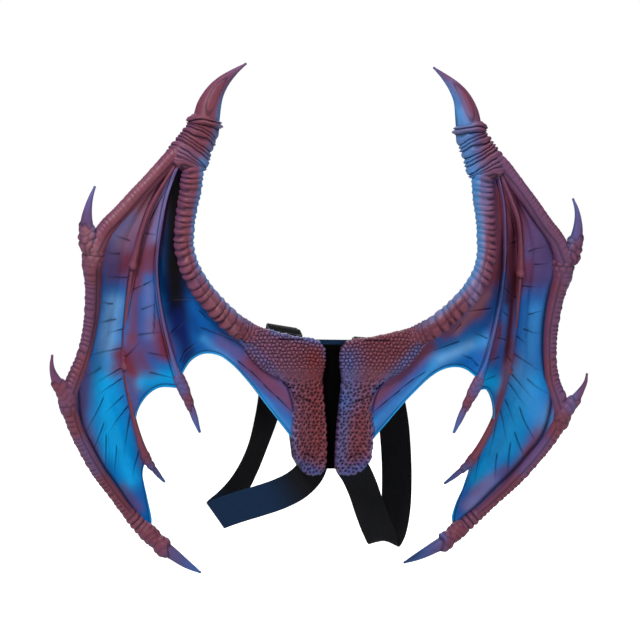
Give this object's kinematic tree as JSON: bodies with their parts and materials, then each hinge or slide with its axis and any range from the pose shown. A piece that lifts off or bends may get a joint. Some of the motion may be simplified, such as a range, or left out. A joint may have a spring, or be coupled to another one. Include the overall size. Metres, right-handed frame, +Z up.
{
  "type": "costume dragon wings",
  "caption": "Mirrored pair of moulded foam dragon wings with ringed arms, ribs, claws and scalloped membranes, on a back panel with elastic shoulder loops.",
  "frame": {"origin": "middle of the back panel's face that lies on the wearer's back", "axes": "+X to the right as the decorated side is looked at, +Y to the wearer, +Z up along the wearer's back"},
  "size_m": [0.6728, 0.1663, 0.6291],
  "materials": {
    "scaled_foam": "satin moulded scales, maroon airbrushed with blue at the edges",
    "ringed_foam": "satin ringed foam, maroon with blue towards the middle line",
    "rib_foam": "satin foam ridge, maroon fading to blue",
    "membrane_foam": "satin foam skin, bright blue with maroon and purple patches",
    "claw_foam": "smooth satin foam, maroon fading to blue",
    "panel_fabric": "matt black cloth",
    "elastic_webbing": "matt black ribbed elastic",
    "slider_plastic": "moulded black plastic"
  },
  "bodies": {
    "root": {"left_shoulder_plate": "scaled_foam", "left_wrist_collar": "ringed_foam", "left_middle_spar": "ringed_foam", "left_upper_spar": "ringed_foam", "left_lower_spar": "ringed_foam", "left_wrist_claw": "claw_foam", "left_elbow_claw": "claw_foam", "left_lower_claw": "claw_foam", "left_tip_claw": "claw_foam", "left_arm": "ringed_foam", "left_outer_rib": "rib_foam", "left_inner_rib": "rib_foam", "left_outer_rib_claw": "claw_foam", "left_inner_rib_claw": "claw_foam", "left_outer_membrane": "membrane_foam", "left_middle_membrane": "membrane_foam", "left_inner_membrane": "membrane_foam", "right_shoulder_plate": "scaled_foam", "right_wrist_collar": "ringed_foam", "right_middle_spar": "ringed_foam", "right_upper_spar": "ringed_foam", "right_lower_spar": "ringed_foam", "right_wrist_claw": "claw_foam", "right_elbow_claw": "claw_foam", "right_lower_claw": "claw_foam", "right_tip_claw": "claw_foam", "right_arm": "ringed_foam", "right_outer_rib": "rib_foam", "right_inner_rib": "rib_foam", "right_outer_rib_claw": "claw_foam", "right_inner_rib_claw": "claw_foam", "right_outer_membrane": "membrane_foam", "right_middle_membrane": "membrane_foam", "right_inner_membrane": "membrane_foam", "back_panel": "panel_fabric", "yoke_strap": "elastic_webbing", "left_shoulder_loop": "elastic_webbing", "left_slider": "slider_plastic", "right_shoulder_loop": "elastic_webbing", "right_slider": "slider_plastic"}
  },
  "joints": []
}
